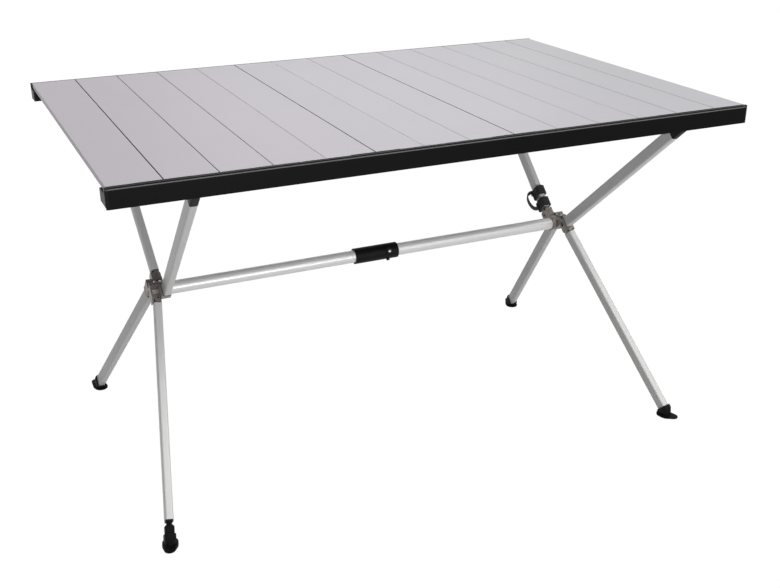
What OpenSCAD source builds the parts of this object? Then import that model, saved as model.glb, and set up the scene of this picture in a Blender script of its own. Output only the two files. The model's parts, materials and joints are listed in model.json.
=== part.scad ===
// Roll top camp table: a slatted aluminium top on two long rails, carried by a folding eight-legged frame.
// Millimetres. The origin is on the floor under the middle of the top, +X runs along the length,
// +Y points to the back and +Z is up.

/* [Table top] */
// Height of the table, floor to slat tops
table_h = 695; // [620:1:760]
// Width of the table across the rails
table_w = 790; // [720:1:860]
// Distance between neighbouring slats
slat_pitch = 86.9; // [80:0.1:92]
// Width of the narrower slat at the right end
end_slat_w = 70; // [50:0.5:90]
// Thickness of a slat
slat_t = 10; // [8:0.5:14]
// Wall of the hollow slats
slat_wall = 1.4; // [1:0.1:2.4]
// Gap between two slats
seam_gap = 0.8; // [0.5:0.1:1.5]
// Radius of the slat edges, which the slats rock on
slat_edge_r = 1.2; // [0.8:0.1:2]

/* [Rails] */
// Height of a rail
rail_h = 34; // [30:0.5:44]
// Width of a rail
rail_w = 42; // [38:0.5:56]
// Wall of the rails
rail_wall = 2; // [1.5:0.1:3]
// Width of the rail's lip in front of the slat ends
lip_w = 8; // [7:0.5:12]
// Depth of the lip's top below the slat tops
lip_drop = 0.5; // [0.5:0.1:3]
// Rounding of the lip's outer edge
lip_r = 2; // [1:0.5:4]
// Height of the keel below the rail, which the leg tips sit behind
keel_h = 3; // [2:0.5:5]
// Thickness of the keel
keel_t = 2.5; // [1.5:0.1:4]
// Thickness of a rail's end cap
cap_t = 4; // [3:0.5:8]
// Length of the cap's plug inside the rail
cap_plug_l = 14; // [8:1:30]
// Length of the rail's ends past the slats
rail_overhang = 3; // [0:0.5:8]

/* [Centre bar] */
// Height of the bar's axis
bar_h = 355; // [320:1:380]
// Outer diameter of the bar
bar_d = 26; // [22:0.5:28]
// Wall of the bar
bar_wall = 1.5; // [1.2:0.1:2.5]
// Outer diameter of the sleeve over the bar's joint
sleeve_d = 33; // [31:0.5:34]
// Length of the sleeve
sleeve_l = 97; // [80:1:140]
// Distance of the sleeve's middle from the table's middle
sleeve_x = 2.5; // [-20:0.5:20]
// Distance of the button from the sleeve's right end
button_inset = 23; // [16:0.5:34]
// Diameter of the button
button_d = 6.4; // [5:0.1:8]
// Travel of the button
button_travel = 2.5; // [1.5:0.1:3]
// Angle of the button above the horizontal
button_lift = 20; // [0:1:40]

/* [Hubs] */
// Distance of the hub's inner face from the table's middle
hub_x = 437; // [400:1:440]
// Diameter of the hub's boss around the bar's axis
boss_d = 32; // [30:0.5:32]
// Length of the hub's boss
boss_l = 40; // [34:0.5:46]
// Length of the hub's spigot inside the bar
spigot_l = 32; // [20:1:60]
// Distance of the upper pins from the hub's inner face
upper_pin_in = 16; // [14:0.5:20]
// Distance of the upper pins from the bar's axis, front to back
upper_pin_w = 40; // [38:0.5:46]
// Height of the upper pins above the bar's axis
upper_pin_up = 11; // [10:0.5:16]
// Distance of the lower pins from the hub's inner face
lower_pin_in = 31; // [28:0.5:34]
// Distance of the lower pins from the bar's axis, front to back
lower_pin_w = 25.5; // [24:0.5:27]
// Depth of the lower pins below the bar's axis
lower_pin_down = 9; // [8:0.5:12]
// Diameter of the pins
pin_d = 6; // [4:0.5:8]
// Thickness of a fork's cheek
cheek_t = 6; // [4:0.5:7]
// Diameter of the screw in the hub's top
screw_d = 6; // [4:0.5:8]

/* [Legs] */
// Depth of a leg tube, front to back
leg_d = 24; // [20:0.5:25]
// Width of a leg tube, along the table
leg_w = 15; // [12:0.5:15.5]
// Corner radius of a leg tube
leg_r = 3.5; // [3:0.5:6]
// Wall of a leg tube
leg_wall = 1.5; // [1.2:0.1:2.5]
// Thickness of a knuckle's tongue
tongue_t = 9; // [7:0.5:10]
// Length of the knuckle's and the tip's plugs inside the tubes
plug_l = 26; // [15:1:40]
// Distance of the feet from the table's middle, along it
foot_x = 550; // [500:1:590]
// Distance of the feet from the table's middle, front to back
foot_y = 337; // [300:1:370]
// Distance of the leg tips from the table's middle, along it
tip_x = 465; // [440:1:520]
// Length of a foot's flat sole
sole_l = 37; // [34:1:46]
// Width of a foot's sole
sole_w = 29; // [26:0.5:34]
// Thickness of a foot's sole
sole_t = 3.5; // [2.5:0.5:4]
// Reach of a foot's upturned toe past the sole
toe_l = 13; // [6:1:16]
// Height of a foot along its leg
foot_h = 25; // [24:0.5:34]
// Wall of a foot around the tube
foot_wall = 3; // [2.5:0.1:4]
// Distance from the floor to the tube's end at the levelling foot, along the leg
level_h = 50.5; // [50:0.5:70]
// Diameter of the levelling foot's stem
stem_d = 8; // [6:0.5:9]
// Length that the levelling foot's stem can be drawn out
level_travel = 15; // [5:1:18]

/* [Strap] */
// Width of the strap's webbing
strap_w = 22; // [15:1:30]
// Thickness of the strap's slack loop
strap_t = 3; // [2:0.5:4]
// Thickness of the lower wrap round the leg
low_wrap_t = 3.5; // [2:0.5:7]
// Thickness of the upper wrap round the leg
high_wrap_t = 3.5; // [2:0.5:6]
// Distance from the tube's end to the strap's first wrap
strap_at = 0.5; // [0.5:0.5:100]
// Distance between the middles of the two wraps
strap_step = 31; // [31:1:60]
// Reach of the slack loop beside the leg
loop_reach = 16; // [12:1:24]
// Angle by which the loop is turned inwards round the leg
loop_turn = 70; // [40:1:80]

/* [Hidden] */
$fn = 64;
slat_count = 14;
seat_gap = 0.3;
end_gap = 0.6;
plug_play = 0.2;
fit_play = 0.05;
slide_play = 0.1;
tip_gap = 0.6;
swing_play = 0.6;
soft_gap = 0.3;
reach = 2000;

// Top
field_l = (slat_count - 1) * slat_pitch + end_slat_w;
lip_in = table_w / 2 - lip_w;
slat_l = 2 * (lip_in - end_gap);
rail_bottom = table_h - rail_h;
rail_under = rail_bottom + keel_h;
ledge_z = table_h - slat_t - seat_gap;
lip_top = table_h - lip_drop;
rail_in = table_w / 2 - rail_w;
rail_end = field_l / 2 + rail_overhang;

// Legs: angles and lengths that follow from the pins, the rails and the feet
upper_pin = [hub_x + upper_pin_in, upper_pin_w, bar_h + upper_pin_up];
lower_pin = [hub_x + lower_pin_in, lower_pin_w, bar_h - lower_pin_down];
tip_top = rail_under - tip_gap;
tip_out = table_w / 2 - keel_t - swing_play;
tip_run = tip_out - upper_pin[1];
tip_rise = tip_top - upper_pin[2];
upper_elev = atan2(tip_rise, tip_run) + asin(leg_d / 2 / norm([tip_run, tip_rise]));
upper_splay = atan((tip_x - upper_pin[0]) / (tip_rise / sin(upper_elev)));
lower_run = foot_y - lower_pin[1];
lower_elev = -atan2(lower_pin[2], lower_run);
lower_flat = norm([lower_run, lower_pin[2]]);
lower_splay = atan((foot_x - lower_pin[0]) / lower_flat);
lower_l = lower_flat / cos(lower_splay);
tip_shoulder = 8;
nose_back = 7;
upper_end = (tip_top - tip_shoulder - upper_pin[2] - leg_d / 2 * cos(upper_elev))
    / (sin(upper_elev) * cos(upper_splay));
foot_seat = sole_t + 1.5;
toe_turn = atan2(foot_x - lower_pin[0], lower_run);
lower_end = lower_l - (foot_seat + leg_d / 2 * cos(lower_elev)) / abs(sin(lower_elev));

sole_shift = 11;
rim = 4.5;
bush_t = 4;
cone_h = 3;
neck_top = level_h - bush_t - cone_h - soft_gap;
block_top = neck_top - 1.5;
block_step = 2.5;
block_w = leg_w + 2;
block_d = leg_d - 4;
stem_l = plug_l + 8;

// Knuckles and forks
eye_r = leg_w / 2;
cheek_r = eye_r + 0.5;
shoulder = cheek_r + swing_play;
flange_t = 2;
tube_start = shoulder + flange_t;
slot_w = tongue_t + 2 * soft_gap;
fork_w = slot_w + 2 * cheek_t;
slot_floor = eye_r + 2 * soft_gap;
stop_t = 3;
stop_in = eye_r + soft_gap;
pin_head_d = pin_d + 4;
pin_head_t = 0.8;
floor_t = 3;
screw_head_d = screw_d + 10;

// Centre bar
bar_in_d = bar_d - 2 * bar_wall;
sleeve_in_d = bar_d + 2 * slide_play;
button_x = sleeve_x + sleeve_l / 2 - button_inset;
button_flange_d = button_d + 2.6;
button_flange_t = 1.4;
button_seat = bar_d / 2 + swing_play;
button_top = sleeve_d / 2 + 3.5;
button_boss_d = 15;
bar_hole_d = button_flange_d + 1;
lug_d = 7;
lug_h = 3.5;
lug_tilt = 55;

CORNERS = ["front_left", "front_right", "back_left", "back_right"];

function slat_name(k) = str("slat_", k < 10 ? "0" : "", k);
function slat_left(k) = -field_l / 2 + (k - 1) * slat_pitch + (k > 1 ? seam_gap / 2 : 0);
function slat_right(k) = k < slat_count ? -field_l / 2 + k * slat_pitch - seam_gap / 2 : field_l / 2;
function is_left(corner) = corner == "front_left" || corner == "back_left";
function is_level(corner) = corner == "front_left";
function is_back(corner) = corner == "back_left" || corner == "back_right";

// Places what is drawn for the front right corner at another corner
module at_corner(corner) {
    mirror_x(is_left(corner)) mirror_y(is_back(corner)) children();
}

module mirror_x(on) {
    if (on) mirror([1, 0, 0]) children();
    else children();
}

module mirror_y(on) {
    if (on) mirror([0, 1, 0]) children();
    else children();
}

// Pin frame of the front right corner: origin on the pin, Y along the pin, Z along the leg in side view
module pin_frame(upper) {
    pin = upper ? upper_pin : lower_pin;
    translate([pin[0], -pin[1], pin[2]]) rotate([90 - (upper ? upper_elev : lower_elev), 0, 0]) children();
}

// Leg frame: the pin frame leaned outwards by the leg's splay
module leg_frame(upper) {
    pin_frame(upper) rotate([0, upper ? upper_splay : lower_splay, 0]) children();
}

// Rectangle with round corners, centred
module round_rect(w, h, r) {
    square([w - 2 * r, h], center = true);
    square([w, h - 2 * r], center = true);
    for (x = [-1, 1], y = [-1, 1]) translate([x * (w / 2 - r), y * (h / 2 - r)]) circle(r);
}

// Section of a leg tube, grown by the given amount on every side
module leg_section(grow = 0) {
    round_rect(leg_w + 2 * grow, leg_d + 2 * grow, leg_r + grow);
}

// Cylinder along Y, centred
module y_cylinder(d, l) {
    rotate([90, 0, 0]) cylinder(d = d, h = l, center = true);
}

// Cylinder along X from x0 to x1
module x_cylinder(d, x0, x1) {
    translate([x0, 0, 0]) rotate([0, 90, 0]) cylinder(d = d, h = x1 - x0);
}

// Hollow slat with two ribs, running front to back
module slat(k) {
    w = slat_right(k) - slat_left(k);
    ribs = 2;
    cell_w = (w - (ribs + 2) * slat_wall) / (ribs + 1);
    color("#b9b5b9")
    translate([slat_left(k) + w / 2, slat_l / 2, table_h - slat_t / 2]) rotate([90, 0, 0])
    linear_extrude(slat_l) difference() {
        round_rect(w, slat_t, slat_edge_r);
        for (i = [0:ribs])
            translate([-w / 2 + slat_wall + i * (cell_w + slat_wall), -slat_t / 2 + slat_wall])
            square([cell_w, slat_t - 2 * slat_wall]);
    }
}

// Outline of the back rail's section, Y to the right and Z up
module rail_outline() {
    out = table_w / 2;
    difference() {
        polygon([
            [rail_in, rail_under], [out - keel_t, rail_under], [out - keel_t, rail_bottom],
            [out, rail_bottom], [out, lip_top], [lip_in, lip_top], [lip_in, ledge_z], [rail_in, ledge_z]
        ]);
        translate([out - lip_r, lip_top - lip_r]) difference() {
            square(lip_r + 1);
            circle(lip_r);
        }
    }
}

// Hollow inside the rail's section
module rail_cavity() {
    out = table_w / 2 - rail_wall;
    top = lip_top - max(lip_r, rail_wall);
    polygon([
        [rail_in + rail_wall, rail_under + rail_wall], [out, rail_under + rail_wall], [out, top],
        [lip_in + rail_wall, top], [lip_in + rail_wall, ledge_z - rail_wall],
        [rail_in + rail_wall, ledge_z - rail_wall]
    ]);
}

// Stands a section with Y to the right and Z up along X, centred
module along_x(l) {
    rotate([90, 0, 90]) translate([0, 0, -l / 2]) linear_extrude(l) children();
}

module back_rail() {
    color("#1c1c1d") along_x(2 * (rail_end - cap_t)) difference() {
        rail_outline();
        rail_cavity();
    }
}

module front_rail() {
    mirror([0, 1, 0]) back_rail();
}

// One cap, at the back rail's right end: a plate with a round outer corner, and a plug in the rail
module rail_cap() {
    plug_out = lip_in - rail_wall;
    difference() {
        translate([rail_end - cap_t / 2, 0, 0]) along_x(cap_t) rail_outline();
        translate([rail_end - cap_t, table_w / 2 - cap_t, rail_bottom - 1]) difference() {
            cube([cap_t + 1, cap_t + 1, rail_h + 2]);
            cylinder(r = cap_t, h = 3 * rail_h, center = true);
        }
    }
    translate([
        rail_end - cap_t - cap_plug_l, rail_in + rail_wall + plug_play,
        rail_under + rail_wall + plug_play
    ])
    cube([
        cap_plug_l, plug_out - rail_in - rail_wall - 2 * plug_play,
        ledge_z - rail_under - 2 * rail_wall - 2 * plug_play
    ]);
}

module rail_end_caps() {
    color("#171718") for (left = [false, true], front = [false, true])
        mirror_x(left) mirror_y(front) rail_cap();
}

// Side view of a fork, X outwards and Y along the leg: an eye, a root and a stop on the outer side
module fork_profile(splay, root) {
    circle(cheek_r);
    translate([-cheek_r, -slot_floor - root]) square([cheek_r + stop_in + stop_t, slot_floor + root]);
    rotate(-splay) translate([stop_in, -slot_floor]) square([stop_t, slot_floor + cheek_r]);
}

// Side view of the space for a leg's tongue, open at the top and inwards
module slot_profile(splay) {
    circle(slot_floor);
    translate([-3 * leg_w, -slot_floor]) square([3 * leg_w, 4 * leg_w]);
    rotate(-splay) translate([-3 * leg_w, 0]) square([3 * leg_w + stop_in, 4 * leg_w]);
}

// Extrudes a side view along the pin, centred
module along_pin(l) {
    rotate([90, 0, 0]) translate([0, 0, -l / 2]) linear_extrude(l) children();
}

// Fork for one leg: two cheeks round the pin, a root under the tongue and the stop
module fork(upper) {
    splay = upper ? upper_splay : lower_splay;
    root = upper ? floor_t : norm([lower_pin_w, lower_pin_down]) - slot_floor;
    pin_frame(upper) difference() {
        along_pin(fork_w) fork_profile(splay, root);
        along_pin(slot_w) slot_profile(splay);
        y_cylinder(pin_d + 2 * fit_play, fork_w + 2);
    }
}

// Arm from the boss to the upper fork, on the side away from the lower leg's swing
module upper_arm() {
    arm_l = norm([upper_pin_w, upper_pin_up]);
    pin_frame(true) translate([-cheek_r, slot_w / 2, -arm_l])
    cube([cheek_r + stop_in + stop_t, cheek_t + floor_t, arm_l - slot_floor]);
}

// Web between the boss and the roots of the forks, clear of the legs' swing
module hub_web() {
    u = [cos(lower_elev), sin(lower_elev)];
    n = [-sin(lower_elev), cos(lower_elev)];
    v = [cos(upper_elev), sin(upper_elev)];
    m = [-sin(upper_elev), cos(upper_elev)];
    root = [lower_pin_w, -lower_pin_down] - (slot_floor + 0.4) * u;
    low = root - fork_w / 2 * n;
    side = root + fork_w / 2 * n;
    top = [upper_pin_w, upper_pin_up] - (slot_floor + floor_t) * v + fork_w / 2 * m;
    from = upper_pin_in - cheek_r;
    translate([hub_x + from, 0, bar_h]) rotate([90, 0, 90]) linear_extrude(boss_l - from - 1)
    polygon([low, side, top, [-top[0], top[1]], [-side[0], side[1]], [-low[0], low[1]]]);
}

// Right hub: a boss round the bar's axis, a spigot in the bar, a web and four forks
module right_hub() {
    color("#837a74") difference() {
        union() {
            translate([0, 0, bar_h]) {
                x_cylinder(boss_d, hub_x, hub_x + boss_l);
                x_cylinder(bar_in_d - 2 * fit_play, hub_x - spigot_l, hub_x + 1);
            }
            hub_web();
            for (back = [false, true]) mirror_y(back) {
                fork(true);
                fork(false);
                upper_arm();
            }
        }
        hub_screw_place() translate([0, 0, -boss_d / 2 - 1])
        cylinder(d = screw_d + 2 * fit_play, h = boss_d);
        hub_screw_place() cylinder(d = screw_head_d + 1.4, h = boss_d);
    }
}

module left_hub() {
    mirror([1, 0, 0]) right_hub();
}

// Seat of the screw in the flat on the boss's top
module hub_screw_place() {
    translate([hub_x + (upper_pin_in + lower_pin_in) / 2, 0, bar_h + boss_d / 2 - 3]) children();
}

// Button-head screw with a hexagon socket
module right_hub_screw() {
    head_h = 6;
    socket_d = screw_d + 2;
    color("#c9c8c6") hub_screw_place() difference() {
        union() {
            translate([0, 0, -boss_d / 2]) cylinder(d = screw_d, h = boss_d / 2);
            intersection() {
                cylinder(d = screw_head_d, h = head_h);
                translate([0, 0, head_h - screw_head_d]) sphere(d = 2 * screw_head_d);
            }
        }
        translate([0, 0, 1.5]) cylinder(d = socket_d, h = head_h, $fn = 6);
    }
}

module left_hub_screw() {
    mirror([1, 0, 0]) right_hub_screw();
}

// Four hollow rivets, one through each fork
module right_hub_pins() {
    color("#3a3633") for (back = [false, true], upper = [false, true])
        mirror_y(back) pin_frame(upper) difference() {
            union() {
                y_cylinder(pin_d, fork_w + 2 * pin_head_t);
                for (side = [-1, 1]) translate([0, side * (fork_w + pin_head_t) / 2, 0])
                    y_cylinder(pin_head_d, pin_head_t);
            }
            y_cylinder(pin_d / 2, fork_w + 4 * pin_head_t);
        }
}

module left_hub_pins() {
    mirror([1, 0, 0]) right_hub_pins();
}

// Half of the centre bar between two points along X
module bar_tube(x0, x1) {
    translate([0, 0, bar_h]) difference() {
        x_cylinder(bar_d, x0, x1);
        x_cylinder(bar_in_d, x0 - 1, x1 + 1);
    }
}

module left_bar() {
    color("#c6c6c4") bar_tube(-hub_x, sleeve_x - soft_gap);
}

module right_bar() {
    color("#c6c6c4") difference() {
        bar_tube(sleeve_x + soft_gap, hub_x);
        button_place() cylinder(d = bar_hole_d, h = bar_d);
    }
}

// Frame on the bar's axis with Z along the button
module button_place() {
    translate([button_x, 0, bar_h]) rotate([90 - button_lift, 0, 0]) children();
}

// Sleeve over the joint of the two bar halves, with the button's boss and a lug below it
module bar_sleeve() {
    color("#202021") difference() {
        union() {
            translate([0, 0, bar_h]) x_cylinder(sleeve_d, sleeve_x - sleeve_l / 2, sleeve_x + sleeve_l / 2);
            button_place() cylinder(d = button_boss_d, h = button_top - 1.5);
            translate([button_x, 0, bar_h]) rotate([90 + lug_tilt, 0, 0])
            cylinder(d = lug_d, h = sleeve_d / 2 + lug_h);
        }
        translate([0, 0, bar_h])
        x_cylinder(sleeve_in_d, sleeve_x - sleeve_l / 2 - 1, sleeve_x + sleeve_l / 2 + 1);
        button_place() {
            cylinder(d = button_d + 2 * slide_play, h = sleeve_d);
            cylinder(d = button_flange_d + 2 * slide_play, h = button_seat + button_flange_t + slide_play);
        }
    }
}

module release_button() {
    color("#d5d5d3") button_place() {
        translate([0, 0, button_seat]) cylinder(d = button_flange_d, h = button_flange_t);
        translate([0, 0, button_seat]) cylinder(d = button_d, h = button_top - button_seat);
        translate([0, 0, button_top]) intersection() {
            sphere(d = button_d);
            cylinder(d = button_d, h = button_d);
        }
    }
}

// Leaf spring behind the button, a folded strip inside the right bar
module button_spring() {
    leaf_t = 0.8;
    leaf_w = 8;
    leaf_top = button_seat - button_travel - 2 * soft_gap;
    leaf_low = -sqrt(pow(bar_in_d / 2, 2) - pow(leaf_w / 2, 2)) + soft_gap;
    leaf_l = 40;
    color("#9a9a9a") button_place() translate([0, -leaf_w / 2, 0]) rotate([-90, 0, 0])
    linear_extrude(leaf_w)
    polygon([
        [-button_flange_d / 2, -leaf_top], [button_flange_d / 2, -leaf_top],
        [leaf_l, -leaf_low - leaf_t], [leaf_l, -leaf_low], [0, -leaf_low], [0, -leaf_low - leaf_t],
        [leaf_l - 8 * leaf_t, -leaf_low - leaf_t], [button_flange_d / 2 - leaf_t, -leaf_top + leaf_t],
        [-button_flange_d / 2, -leaf_top + leaf_t]
    ]);
}

// Straight tube in the leg frame
module leg_tube(from, to) {
    translate([0, 0, from]) linear_extrude(to - from) difference() {
        leg_section();
        leg_section(-leg_wall);
    }
}

module leg(corner, upper) {
    end = upper ? upper_end : is_level(corner) ? lower_l - level_h : lower_end;
    color("#c9c9c8") at_corner(corner) leg_frame(upper) leg_tube(tube_start, end);
}

// Knuckle: an eye and tongue in the fork, a flange on the tube's end and a plug inside it
module knuckle(corner, upper) {
    color("#5f5853") at_corner(corner) leg_frame(upper) difference() {
        union() {
            y_cylinder(2 * eye_r, tongue_t);
            translate([-eye_r, -tongue_t / 2, 0]) cube([2 * eye_r, tongue_t, shoulder + 1]);
            translate([0, 0, shoulder]) linear_extrude(flange_t) leg_section();
            translate([0, 0, tube_start]) linear_extrude(plug_l) leg_section(-leg_wall - plug_play);
        }
        y_cylinder(pin_d + 2 * fit_play, leg_d);
    }
}

// Tip: a plug in the upper tube with a wedge head, cut level under the rail and blunt behind the keel
module tip(corner) {
    color("#232324") at_corner(corner) difference() {
        leg_frame(true) {
            translate([0, 0, upper_end]) linear_extrude(3 * leg_d) leg_section();
            translate([0, 0, upper_end - plug_l]) linear_extrude(plug_l) leg_section(-leg_wall - plug_play);
        }
        translate([0, -table_w, tip_top]) cube([reach, table_w, reach]);
        translate([0, nose_back - reach - tip_out, 0]) cube(reach);
    }
}

// Frame on the floor where the leg's axis meets it, with Y turned along the leg
module floor_frame() {
    translate([foot_x, -foot_y, 0]) rotate([0, 0, toe_turn]) children();
}

// Flat oval, long in Y, from the toe's end at -Y to the heel
module sole_outline(grow = 0) {
    r = sole_w / 2 + grow;
    translate([0, sole_shift]) {
        for (end = [-1, 1]) translate([0, end * (sole_l - sole_w) / 2]) circle(r);
        square([2 * r, sole_l - sole_w], center = true);
    }
}

// Boot: a sole with an upturned toe, and an upper that is drawn in to a collar on the leg
module boot() {
    toe_r = sole_w / 2 - 4;
    hull() floor_frame() {
        linear_extrude(sole_t) sole_outline($fn = 32);
        translate([0, sole_shift - sole_l / 2 - toe_l + toe_r, sole_t + 1])
        cylinder(r = toe_r, h = 2, $fn = 32);
    }
    hull() {
        floor_frame() translate([0, 0, 1]) linear_extrude(1) sole_outline(-rim, $fn = 24);
        leg_frame(false) translate([0, 0, lower_l - foot_h])
        linear_extrude(lower_end - lower_l + foot_h) leg_section(foot_wall, $fn = 24);
    }
}

// Foot pushed on the end of a lower tube, with a plug inside it
module foot(corner) {
    color("#1d1d1e") at_corner(corner)
    if (is_level(corner)) level_foot();
    else {
        difference() {
            boot();
            leg_frame(false) translate([0, 0, lower_l - foot_h - 1])
            linear_extrude(lower_end - lower_l + foot_h + 1) leg_section(fit_play);
        }
        leg_frame(false) translate([0, 0, lower_end - plug_l])
        linear_extrude(plug_l + 1) leg_section(-leg_wall - plug_play);
    }
}

// Levelling foot: a boot with a stepped block, a neck that stops on the bush, and a stem inside it
module level_foot() {
    boot();
    leg_frame(false) {
        translate([0, 0, lower_l - block_top]) linear_extrude(block_step + 1)
        round_rect(block_w - 4, block_d - 4, 3);
        translate([0, 0, lower_l - block_top + block_step])
        linear_extrude(block_top - block_step - foot_h + 4) round_rect(block_w, block_d, 4);
        translate([0, 0, lower_l - neck_top]) cylinder(d = stem_d + 2, h = neck_top - block_top + 1);
        translate([0, 0, lower_l - neck_top - stem_l]) cylinder(d = stem_d, h = stem_l + 1);
    }
}

// Bush in the end of the levelling foot's tube
module front_left_foot_bush() {
    color("#202021") at_corner("front_left") leg_frame(false) difference() {
        translate([0, 0, lower_l - level_h]) {
            linear_extrude(bush_t) leg_section(-0.5);
            translate([0, 0, bush_t]) cylinder(d1 = leg_w - 2, d2 = stem_d + 2, h = cone_h);
            translate([0, 0, -plug_l]) linear_extrude(plug_l) leg_section(-leg_wall - plug_play);
        }
        translate([0, 0, lower_l - level_h - plug_l - 1])
        cylinder(d = stem_d + 2 * slide_play, h = plug_l + bush_t + cone_h + 2);
    }
}

// Hook-and-loop strap on the back right upper leg: two wraps round the tube and a slack loop beside it
module leg_strap() {
    wrap_out = (leg_w / 2 - leg_r) * sin(loop_turn) + (leg_d / 2 - leg_r) * cos(loop_turn)
        + leg_r + soft_gap + high_wrap_t;
    half = strap_step / 2;
    chord = half + 6;
    loop_r = (chord * chord + loop_reach * loop_reach) / (2 * loop_reach);
    loop_y = -wrap_out - loop_reach + loop_r;
    mid = tube_start + strap_at + half + strap_w / 2;
    color("#111112") at_corner("back_right") leg_frame(true) {
        for (side = [-1, 1]) translate([0, 0, mid + side * half - strap_w / 2])
            linear_extrude(strap_w) difference() {
                leg_section(soft_gap + (side < 0 ? low_wrap_t : high_wrap_t));
                leg_section(soft_gap);
            }
        rotate([0, 0, -loop_turn]) intersection() {
            translate([strap_w / 2 - 2, loop_y, mid]) rotate([0, -90, 0])
            linear_extrude(strap_w - 4) difference() {
                circle(loop_r + strap_t / 2);
                circle(loop_r - strap_t / 2);
            }
            translate([-reach / 2, -reach - wrap_out + strap_t / 2, 0]) cube(reach);
        }
    }
}

for (k = [1:slat_count]) slat(k);
front_rail();
back_rail();
rail_end_caps();
left_hub();
right_hub();
left_hub_screw();
right_hub_screw();
left_hub_pins();
right_hub_pins();
left_bar();
right_bar();
bar_sleeve();
release_button();
button_spring();
for (corner = CORNERS) {
    leg(corner, true);
    leg(corner, false);
    knuckle(corner, true);
    knuckle(corner, false);
    tip(corner);
    foot(corner);
}
front_left_foot_bush();
leg_strap();
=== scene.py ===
"""Roll top camp table: materials, strap, camera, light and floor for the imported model."""
import json
import math

import bmesh
import bpy
from mathutils import Matrix, Vector


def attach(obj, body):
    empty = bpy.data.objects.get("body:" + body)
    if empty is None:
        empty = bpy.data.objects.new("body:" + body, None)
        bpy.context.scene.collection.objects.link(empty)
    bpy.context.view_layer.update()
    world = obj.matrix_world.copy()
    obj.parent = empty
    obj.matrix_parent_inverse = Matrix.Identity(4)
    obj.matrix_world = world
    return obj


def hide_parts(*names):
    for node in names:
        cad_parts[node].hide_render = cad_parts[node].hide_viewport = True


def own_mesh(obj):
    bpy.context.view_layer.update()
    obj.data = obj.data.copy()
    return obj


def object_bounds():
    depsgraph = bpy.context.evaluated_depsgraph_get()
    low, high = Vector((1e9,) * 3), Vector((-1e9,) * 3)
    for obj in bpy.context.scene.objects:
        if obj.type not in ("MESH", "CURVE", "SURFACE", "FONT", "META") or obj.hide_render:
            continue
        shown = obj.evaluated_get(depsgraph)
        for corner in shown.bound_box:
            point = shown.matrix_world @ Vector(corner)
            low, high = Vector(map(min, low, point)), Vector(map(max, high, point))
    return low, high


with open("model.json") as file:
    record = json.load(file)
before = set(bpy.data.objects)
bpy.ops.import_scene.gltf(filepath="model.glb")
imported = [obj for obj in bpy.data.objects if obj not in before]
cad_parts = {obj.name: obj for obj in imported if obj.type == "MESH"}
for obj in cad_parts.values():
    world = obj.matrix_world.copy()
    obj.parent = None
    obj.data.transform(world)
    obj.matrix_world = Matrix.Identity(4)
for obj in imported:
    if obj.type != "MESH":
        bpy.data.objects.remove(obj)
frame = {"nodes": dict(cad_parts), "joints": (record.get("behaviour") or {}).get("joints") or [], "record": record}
NODES = frame["nodes"]
cad_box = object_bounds()
scene = bpy.context.scene
WHITE = (1, 1, 1, 1)

# Camera at the photograph's viewpoint: metres, radians and pixels
CAMERA_PLACE = (-0.8427, -1.9131, 1.1705)
CAMERA_AZIMUTH = 0.4311
CAMERA_TILT = -0.4106
CAMERA_ROLL = -0.0027
FOCAL_PX = 1061.5
PHOTO_W_PX = 780
SENSOR_MM = 36


def make_camera():
    forward = Vector((
        math.sin(CAMERA_AZIMUTH) * math.cos(CAMERA_TILT),
        math.cos(CAMERA_AZIMUTH) * math.cos(CAMERA_TILT),
        math.sin(CAMERA_TILT),
    ))
    right = Vector((math.cos(CAMERA_AZIMUTH), -math.sin(CAMERA_AZIMUTH), 0))
    up = right.cross(forward)
    rolled_right = right * math.cos(CAMERA_ROLL) + up * math.sin(CAMERA_ROLL)
    rolled_up = up * math.cos(CAMERA_ROLL) - right * math.sin(CAMERA_ROLL)
    data = bpy.data.cameras.new("camera")
    data.sensor_fit = "HORIZONTAL"
    data.sensor_width = SENSOR_MM
    data.lens = FOCAL_PX / PHOTO_W_PX * SENSOR_MM
    camera = bpy.data.objects.new("camera", data)
    turn = Matrix((rolled_right, rolled_up, -forward)).transposed().to_4x4()
    camera.matrix_world = Matrix.Translation(CAMERA_PLACE) @ turn
    scene.collection.objects.link(camera)
    scene.camera = camera


# Node helpers: an input is given as a plain value or as the output that feeds it
def set_inputs(tree, node, inputs):
    for key, value in inputs.items():
        if isinstance(value, bpy.types.NodeSocket):
            tree.links.new(value, node.inputs[key])
        else:
            node.inputs[key].default_value = value


def add_node(tree, kind, inputs, **settings):
    node = tree.nodes.new("ShaderNode" + kind)
    for name, value in settings.items():
        setattr(node, name, value)
    set_inputs(tree, node, inputs)
    return node


def math_node(tree, operation, *values):
    return add_node(tree, "Math", dict(enumerate(values)), operation=operation).outputs["Value"]


def mix_colours(tree, share, first, second, blend):
    """The mix of two colours; of the node's sockets, inputs 6 and 7 and output 2 are the colours."""
    inputs = {"Factor": share, 6: first, 7: second}
    return add_node(tree, "Mix", inputs, data_type="RGBA", blend_type=blend).outputs[2]


def object_coords(tree, scale=(1, 1, 1)):
    coord = add_node(tree, "TexCoord", {}).outputs["Object"]
    return add_node(tree, "Mapping", {"Vector": coord, "Scale": scale}).outputs["Vector"]


def object_axis(tree, axis):
    return add_node(tree, "SeparateXYZ", {"Vector": object_coords(tree)}).outputs[axis]


def noise(tree, vector, scale, detail):
    inputs = {"Vector": vector, "Scale": scale, "Detail": detail, "Roughness": 0.55}
    return add_node(tree, "TexNoise", inputs).outputs["Fac"]


def ramp(tree, value, stops):
    node = add_node(tree, "ValToRGB", {"Fac": value})
    ends = node.color_ramp.elements
    while len(ends) < len(stops):
        ends.new(0.5)
    for end, (at, colour) in zip(ends, stops):
        end.position = at
        end.color = (*colour, 1)
    return node.outputs["Color"]


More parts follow.
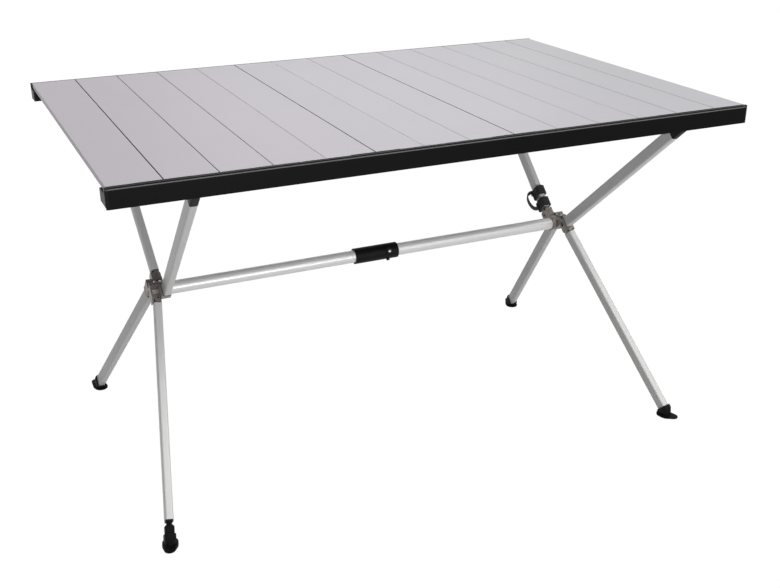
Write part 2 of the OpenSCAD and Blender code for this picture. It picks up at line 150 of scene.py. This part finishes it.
def map_range(tree, value, from_low, from_high, low, high):
    inputs = {"Value": value, "From Min": from_low, "From Max": from_high}
    inputs.update({"To Min": low, "To Max": high})
    return add_node(tree, "MapRange", inputs).outputs["Result"]


def bump(tree, shader, height, strength, distance):
    node = add_node(tree, "Bump", {"Height": height, "Strength": strength, "Distance": distance})
    tree.links.new(node.outputs["Normal"], shader.inputs["Normal"])


def new_material(name):
    material = bpy.data.materials.new(name)
    material.use_nodes = True
    tree = material.node_tree
    return material, tree, tree.nodes["Principled BSDF"]


# Surfaces: most of a noise lies between the low and the high value
NOISE_LOW, NOISE_MID, NOISE_HIGH = 0.3, 0.5, 0.7

# Painted seam shade: tone lost in a seam, openness where its painted shade starts and ends, and what more depth
# adds to these
SEAM_SHADE_LOSS = 0.94
SHADE_FROM, SHADE_TO = 0.25, 0.85
DEEPER_FROM, DEEPER_TO = 0.72, 0.15
EVEN_SEAMS = (0.0, 1.0, 1.0)


def tones(colour, spread):
    return [tuple(c * k for c in colour) for k in (1 - spread, 1, 1 + spread)]


def shade_range(depth):
    """Openness at which a seam's painted shade starts and ends, and the tone at its start.

    A depth of 1 is an ordinary painted seam shade. A deeper one is wider, and one below 0 is a painted highlight,
    lighter than the slat.
    """
    over = max(0.0, depth - 1)
    tone = 1 - SEAM_SHADE_LOSS * min(depth, 1.0)
    return SHADE_FROM + DEEPER_FROM * over, SHADE_TO + DEEPER_TO * over, tone


def painted_crevice_shade(tree, colour, distance, seams):
    """The colour with painted shade where neighbouring surfaces stand within the distance.

    seams holds the X of the piece's middle and the depth of the painted seam shade on either side of it.
    """
    middle, left, right = seams
    openness = add_node(tree, "AmbientOcclusion", {"Distance": distance}, samples=8).outputs["AO"]
    side = math_node(tree, "GREATER_THAN", object_axis(tree, "X"), middle)
    both = zip(shade_range(left), shade_range(right))
    start, end, tone = [math_node(tree, "MULTIPLY_ADD", side, b - a, a) for a, b in both]
    shade = map_range(tree, openness, start, end, tone, 1.0)
    return mix_colours(tree, 1.0, colour, shade, "MULTIPLY")


def painted_edge_highlight(tree, colour, low, high, pale):
    """The colour with a painted highlight on the rounded edge between two heights."""
    black, white = (0, 0, 0), (1, 1, 1)
    share = map_range(tree, object_axis(tree, "Z"), low, high, 0.0, 1.0)
    band = ramp(tree, share, [(0.0, black), (0.35, white), (0.7, white), (1.0, black)])
    return mix_colours(tree, band, colour, (*pale, 1), "MIX")


def grained(name, colour, metallic, gloss, grain, spread, depth, cloud, specular=0.5,
            painted_shade_reach=0.0, edge=None, seams=EVEN_SEAMS):
    """A surface with clouded tone, uneven gloss and a fine grain of a given scale along each axis."""
    material, tree, shader = new_material(name)
    low, mid, high = tones(colour, spread)
    clouds = noise(tree, object_coords(tree), scale=cloud, detail=4.0)
    fine = noise(tree, object_coords(tree, grain), scale=1.0, detail=2.0)
    tone = ramp(tree, clouds, [(NOISE_LOW, low), (NOISE_MID, mid), (NOISE_HIGH, high)])
    # Painted shade where neighbouring surfaces stand close: seams and crevices
    if painted_shade_reach:
        tone = painted_crevice_shade(tree, tone, painted_shade_reach, seams)
    # Painted highlight on the rounded edge between two heights
    if edge:
        tone = painted_edge_highlight(tree, tone, *edge)
    set_inputs(tree, shader, {
        "Base Color": tone,
        "Roughness": map_range(tree, fine, NOISE_LOW, NOISE_HIGH, *gloss),
        "Metallic": metallic,
        "Specular IOR Level": specular,
    })
    bump(tree, shader, fine, strength=0.5, distance=depth)
    return material


def webbing_material():
    """Black woven webbing: fine ribs across the band and a fuzzy pile."""
    material, tree, shader = new_material("webbing")
    uv = add_node(tree, "TexCoord", {}).outputs["UV"]
    ribs = add_node(tree, "TexWave", {"Vector": uv, "Scale": 260, "Distortion": 0.6},
                    wave_type="BANDS", bands_direction="X").outputs["Fac"]
    pile = noise(tree, object_coords(tree), scale=2600.0, detail=2.0)
    dark, mid, pale = (0.004, 0.004, 0.0045), (0.007, 0.007, 0.0075), (0.015, 0.015, 0.016)
    set_inputs(tree, shader, {
        "Base Color": ramp(tree, pile, [(NOISE_LOW, dark), (NOISE_MID, mid), (0.75, pale)]),
        "Roughness": 0.85,
        "Sheen Weight": 0.08,
        "Sheen Roughness": 0.5,
    })
    height = math_node(tree, "MULTIPLY_ADD", ribs, 0.5, pile)
    bump(tree, shader, height, strength=0.6, distance=0.0003)
    return material


# One material for each finish; the rails and caps have a painted highlight on the rounded edge just below the top
TOP_Z = cad_box[1][2]
HIGHLIGHT_LOW, HIGHLIGHT_HIGH = TOP_Z - 0.0044, TOP_Z - 0.0019
FINISHES = {
    "black_aluminium": dict(
        colour=(0.0030, 0.0030, 0.0032), metallic=0.0, gloss=(0.34, 0.46), grain=(24, 1800, 1800),
        spread=0.12, depth=0.00003, cloud=9.0, specular=0.05,
        edge=(HIGHLIGHT_LOW, HIGHLIGHT_HIGH, (0.15, 0.15, 0.155))),
    "cap_plastic": dict(
        colour=(0.0042, 0.0042, 0.0044), metallic=0.0, gloss=(0.36, 0.5), grain=(1100, 1100, 1100),
        spread=0.15, depth=0.00006, cloud=40.0, specular=0.12,
        edge=(HIGHLIGHT_LOW, HIGHLIGHT_HIGH, (0.11, 0.11, 0.113))),
    "leg_aluminium": dict(
        colour=(0.64, 0.635, 0.63), metallic=0.12, gloss=(0.30, 0.36), grain=(420, 420, 420),
        spread=0.025, depth=0.000003, cloud=14.0, specular=0.2),
    "bar_aluminium": dict(
        colour=(0.76, 0.76, 0.755), metallic=0.2, gloss=(0.28, 0.36), grain=(24, 900, 900),
        spread=0.03, depth=0.000004, cloud=14.0),
    "hub_alloy": dict(
        colour=(0.23, 0.205, 0.19), metallic=0.5, gloss=(0.36, 0.5), grain=(700, 700, 700),
        spread=0.12, depth=0.00006, cloud=60.0),
    "knuckle_alloy": dict(
        colour=(0.19, 0.17, 0.155), metallic=0.5, gloss=(0.38, 0.5), grain=(700, 700, 700),
        spread=0.12, depth=0.00006, cloud=60.0),
    "foot_rubber": dict(
        colour=(0.0026, 0.0026, 0.0028), metallic=0.0, gloss=(0.5, 0.7), grain=(900, 900, 900),
        spread=0.2, depth=0.00008, cloud=40.0, specular=0.09),
    "black_plastic": dict(
        colour=(0.0042, 0.0042, 0.0044), metallic=0.0, gloss=(0.42, 0.58), grain=(1100, 1100, 1100),
        spread=0.15, depth=0.00006, cloud=40.0, specular=0.09),
    "bright_steel": dict(
        colour=(0.62, 0.61, 0.60), metallic=0.8, gloss=(0.2, 0.34), grain=(1500, 1500, 1500),
        spread=0.05, depth=0.00002, cloud=90.0),
    # Screw steel with painted shade in its crevices
    "screw_steel": dict(
        colour=(0.36, 0.33, 0.31), metallic=0.6, gloss=(0.26, 0.4), grain=(1500, 1500, 1500),
        spread=0.08, depth=0.00002, cloud=90.0, painted_shade_reach=0.003),
    "spring_steel": dict(
        colour=(0.36, 0.36, 0.36), metallic=0.9, gloss=(0.25, 0.4), grain=(1500, 1500, 1500),
        spread=0.06, depth=0.00002, cloud=90.0),
}

# Slats from the left: their levels, with painted shade darker to the left, the tints at both ends of the top, and
# the depths of painted shade in all seams
SLAT_FINISH = dict(
    metallic=0.2, gloss=(0.40, 0.48), grain=(2200, 30, 2200),
    spread=0.015, depth=0.00002, cloud=5.0, specular=0.25, painted_shade_reach=0.0045)
SLAT_TONE_AND_SHADE_LEVELS = [
    0.538, 0.543, 0.553, 0.558, 0.572, 0.576, 0.586,
    0.584, 0.590, 0.582, 0.583, 0.578, 0.581, 0.575,
]
LEFT_TINT, RIGHT_TINT = (1.0, 0.928, 1.015), (1.0, 0.988, 1.04)
SEAM_SHADE_DEPTHS = [1.0, 1.9, 1.0, 0.5, -0.5, 1.8, -0.7, 0.0, 1.9, 0.8, 0.6, 0.8, 1.4, 1.5, 1.0]


def slat_material(i):
    number = f"{i + 1:02d}"
    across = i / (len(SLAT_TONE_AND_SHADE_LEVELS) - 1)
    tone = tuple(SLAT_TONE_AND_SHADE_LEVELS[i] * (a + (b - a) * across) for a, b in zip(LEFT_TINT, RIGHT_TINT))
    corners = NODES["slat_" + number].bound_box
    middle = sum(corner[0] for corner in corners) / len(corners)
    seams = (middle, SEAM_SHADE_DEPTHS[i], SEAM_SHADE_DEPTHS[i + 1])
    return grained("slat_aluminium_" + number, tone, seams=seams, **SLAT_FINISH)


def make_materials():
    made = {name: grained(name, **finish) for name, finish in FINISHES.items()}
    for i in range(len(SLAT_TONE_AND_SHADE_LEVELS)):
        made[f"slat_{i + 1:02d}"] = slat_material(i)
    made["webbing"] = webbing_material()
    return made


def dress_nodes(made):
    for part in frame["record"]["subparts"]:
        name, finish = part["node"], part["material_slot"]
        if finish == "slat_aluminium":
            finish = name
        elif name == "rail_end_caps":
            finish = "cap_plastic"
        elif name.endswith("_screw"):
            finish = "screw_steel"
        mesh = NODES[name].data
        mesh.materials.clear()
        mesh.materials.append(made[finish])


# Back right upper leg, in its own frame: Z along the leg from its pin, X outwards, millimetres
MM_PER_M = 1000
FOLD = next(joint for joint in frame["joints"] if joint["name"] == "back_right_upper_fold")
PIN_M = Vector(FOLD["pos_m"])
LEG_ELEVATION = math.atan2(-FOLD["axis"][1], FOLD["axis"][2])
LEG_SPLAY = math.radians(1.53682)
LEG_W, LEG_D, LEG_R = 15.0, 24.0, 3.5
FLAT_W, FLAT_D = LEG_W / 2 - LEG_R, LEG_D / 2 - LEG_R

# Strap wound on it: where each band is wound, how often and how far it leans, and how its layers lie
WRAPS = [dict(z=22.0, turns=1.9, lean=1.2), dict(z=53.0, turns=1.8, lean=0.8)]
WRAPS_MIDDLE = (WRAPS[0]["z"] + WRAPS[1]["z"]) / 2
WRAP_W, WRAP_T = 22.0, 1.7
WRAP_START = 0.80
LEAN_PHASE = 0.6
FIRST_LAYER, LAYER_STEP = 1.2, 1.9
STATIONS_PER_TURN = 56

# Slack loop between the wraps: each end lies on a wrap by the lap and turns out past its middle
LOOP_W, LOOP_T = 17.0, 2.6
LOOP_TURN = math.radians(70)
LOOP_FOOT, LOOP_REACH = 5.2, 14.5
LOOP_PAST, LOOP_LAP = 6.0, 7
LOOP_FULLNESS, LOOP_SHIFT = 0.75, 3.0
LOOP_STEPS = 48


def strap_point(x, y, z):
    """A point of the leg's frame, in the model's frame and in metres."""
    lean = Matrix.Rotation(math.pi / 2 - LEG_ELEVATION, 3, "X") @ Matrix.Rotation(LEG_SPLAY, 3, "Y")
    p = lean @ Vector((x, y, z))
    return Vector((p.x, -p.y, p.z)) / MM_PER_M + PIN_M


def around_leg(turns, offset):
    """Point and outward normal on the tube's section grown by offset, from the lower face's middle."""
    r = LEG_R + offset
    arc = math.pi / 2 * r
    runs = [FLAT_W, arc, 2 * FLAT_D, arc, 2 * FLAT_W, arc, 2 * FLAT_D, arc, FLAT_W]
    at = (turns % 1.0) * sum(runs)
    corners = [(FLAT_W, -FLAT_D), (FLAT_W, FLAT_D), (-FLAT_W, FLAT_D), (-FLAT_W, -FLAT_D)]
    faces = [(0, -FLAT_D - r), (FLAT_W + r, -FLAT_D), (FLAT_W, FLAT_D + r), (-FLAT_W - r, FLAT_D),
             (-FLAT_W, -FLAT_D - r)]
    for i, run in enumerate(runs):
        if at <= run or i == len(runs) - 1:
            break
        at -= run
    quarter = i // 2
    angle = quarter * math.pi / 2
    if i % 2:
        angle += at / r - math.pi / 2
        normal = Vector((math.cos(angle), math.sin(angle)))
        return Vector(corners[quarter]) + normal * r, normal
    step = Vector((math.cos(angle), math.sin(angle)))
    normal = Vector((math.sin(angle), -math.cos(angle)))
    return Vector(faces[quarter]) + step * at, normal


def wrap_stations(z, turns, lean):
    """A band wound round the leg, each turn lying on the one before, with a lean along the leg."""
    count = int(turns * STATIONS_PER_TURN)
    stations = []
    for i in range(count + 1):
        t = turns * i / count
        p, n = around_leg(WRAP_START + t, FIRST_LAYER + LAYER_STEP * t)
        drift = lean * math.sin(2 * math.pi * (WRAP_START + t) - LEAN_PHASE)
        stations.append((Vector((p.x, p.y, z + drift)), Vector((n.x, n.y, 0)), Vector((0, 0, 1))))
    return stations


def loop_stations():
    """The slack: it leaves one wrap, stands off the leg and comes back to the other."""
    away = Vector((-math.sin(LOOP_TURN), -math.cos(LOOP_TURN), 0))
    across = Vector((math.cos(LOOP_TURN), -math.sin(LOOP_TURN), 0))
    foot = FLAT_W * math.sin(LOOP_TURN) + FLAT_D * math.cos(LOOP_TURN) + LEG_R + LOOP_FOOT
    half = (WRAPS[1]["z"] - WRAPS[0]["z"]) / 2 + LOOP_PAST
    path = [(foot, WRAPS_MIDDLE - half + LOOP_LAP - i) for i in range(LOOP_LAP + 1)]
    for i in range(1, LOOP_STEPS):
        t = math.pi * i / LOOP_STEPS
        out = foot + LOOP_REACH * math.sin(t) ** LOOP_FULLNESS
        path.append((out, WRAPS_MIDDLE - half * math.cos(t) + LOOP_SHIFT * math.sin(t) ** 2))
    path += [(foot, WRAPS_MIDDLE + half - i) for i in range(LOOP_LAP + 1)]
    points = [away * out + Vector((0, 0, z)) for out, z in path]
    stations = []
    for i, p in enumerate(points):
        along = points[min(i + 1, len(points) - 1)] - points[max(i - 1, 0)]
        stations.append((p, along.normalized().cross(across).normalized(), across))
    return stations


def add_band(bm, uv, stations, width, thickness):
    """A flat band with rounded selvedges, and its length.

    Each station is a point, the outward normal and the direction of the width.
    """
    edge = thickness / 2
    ring = [(-width / 2 + edge, -edge), (0, -edge), (width / 2 - edge, -edge), (width / 2, 0),
            (width / 2 - edge, edge), (0, edge), (-width / 2 + edge, edge), (-width / 2, 0)]
    rows = []
    run = 0.0
    for i, (p, n, w) in enumerate(stations):
        if i:
            run += (p - stations[i - 1][0]).length
        rows.append((run, [bm.verts.new(strap_point(*(p + w * a + n * b))) for a, b in ring]))
    for (run_a, a), (run_b, b) in zip(rows, rows[1:]):
        for k in range(len(ring)):
            j = (k + 1) % len(ring)
            face = bm.faces.new((a[k], a[j], b[j], b[k]))
            face.smooth = True
            places = ((run_a, k), (run_a, j), (run_b, j), (run_b, k))
            for loop, (along, q) in zip(face.loops, places):
                loop[uv].uv = (along / MM_PER_M, ring[q][0] / MM_PER_M)
    bm.faces.new(list(reversed(rows[0][1])))
    bm.faces.new(rows[-1][1])
    return run


def band_object(name, bands, width, thickness, material):
    """An object of one or more bands, and the length of each."""
    bm = bmesh.new()
    uv = bm.loops.layers.uv.new("UVMap")
    lengths = [add_band(bm, uv, stations, width, thickness) for stations in bands]
    bmesh.ops.recalc_face_normals(bm, faces=bm.faces)
    mesh = bpy.data.meshes.new(name)
    bm.to_mesh(mesh)
    bm.free()
    mesh.materials.append(material)
    band = bpy.data.objects.new(name, mesh)
    scene.collection.objects.link(band)
    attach(band, "back_right_upper")
    return band, lengths


def make_strap(material):
    bands = [wrap_stations(**wrap) for wrap in WRAPS]
    wraps, wrap_l = band_object("strap_wraps", bands, WRAP_W, WRAP_T, material)
    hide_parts("leg_strap")
    loop, loop_l = band_object("strap_loop", [loop_stations()], LOOP_W, LOOP_T, material)
    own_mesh(loop)


# Floor, background and lamps: metres and watts
FLOOR_SIZE, FLOOR_Z = 30, -0.0005
FLOOR_GREY = (0.24, 0.24, 0.24, 1)
FLOOR_GLOW, FLOOR_SEEN = 1.06, 0.95
WORLD_LIGHT, WORLD_GLOW, WORLD_SEEN = 0.16, 1.0, 1.0
LAMPS = [
    dict(name="key", place=(1.3, -2.3, 2.8), aim=(0, 0, 0.4), size=(2.6, 2.6), power=54),
    dict(name="low", place=(-0.1, -3.2, 0.6), aim=(0, 0, 0.45), size=(2.4, 0.16), power=50),
    dict(name="top", place=(-0.5, 0.2, 3.1), aim=(0, 0, 0.6), size=(1.8, 1.8), power=22),
    dict(name="back", place=(1.2, 2.8, 2.2), aim=(0, 0, 0.4), size=(2.0, 2.0), power=6),
]


def where_seen(tree, share, plain, seen):
    """The plain shader for stray light, and the seen one where the camera, a mirror or glass looks."""
    path = add_node(tree, "LightPath", {}).outputs
    looked_at = math_node(tree, "MAXIMUM", path["Is Camera Ray"], path["Is Glossy Ray"])
    looked_at = math_node(tree, "MAXIMUM", looked_at, path["Is Transmission Ray"])
    weight = math_node(tree, "MULTIPLY", looked_at, share)
    return add_node(tree, "MixShader", {"Fac": weight, 1: plain, 2: seen}).outputs["Shader"]


def make_stage():
    bpy.ops.mesh.primitive_plane_add(size=FLOOR_SIZE, location=(0, 0, FLOOR_Z))
    floor = bpy.context.object
    floor.name = "floor"
    material, tree, shader = new_material("floor")
    set_inputs(tree, shader, {"Base Color": FLOOR_GREY, "Roughness": 0.9, "Specular IOR Level": 0.1})
    glow = add_node(tree, "Emission", {"Color": WHITE, "Strength": FLOOR_GLOW})
    surface = where_seen(tree, FLOOR_SEEN, shader.outputs["BSDF"], glow.outputs["Emission"])
    tree.links.new(surface, tree.nodes["Material Output"].inputs["Surface"])
    floor.data.materials.append(material)


def make_world():
    world = bpy.data.worlds.new("studio")
    scene.world = world
    world.use_nodes = True
    tree = world.node_tree
    light = tree.nodes["Background"]
    set_inputs(tree, light, {"Color": WHITE, "Strength": WORLD_LIGHT})
    seen = add_node(tree, "Background", {"Color": WHITE, "Strength": WORLD_GLOW})
    surface = where_seen(tree, WORLD_SEEN, light.outputs["Background"], seen.outputs["Background"])
    tree.links.new(surface, tree.nodes["World Output"].inputs["Surface"])


def add_lamp(name, place, aim, size, power):
    data = bpy.data.lights.new(name, "AREA")
    data.shape = "RECTANGLE"
    data.size, data.size_y = size
    data.energy = power
    lamp = bpy.data.objects.new(name, data)
    lamp.location = place
    lamp.rotation_euler = (Vector(aim) - Vector(place)).to_track_quat("-Z", "Y").to_euler()
    scene.collection.objects.link(lamp)


make_camera()
finishes = make_materials()
dress_nodes(finishes)
make_strap(finishes["webbing"])
make_stage()
make_world()
for lamp in LAMPS:
    add_lamp(**lamp)
scene.view_settings.view_transform = "Standard"
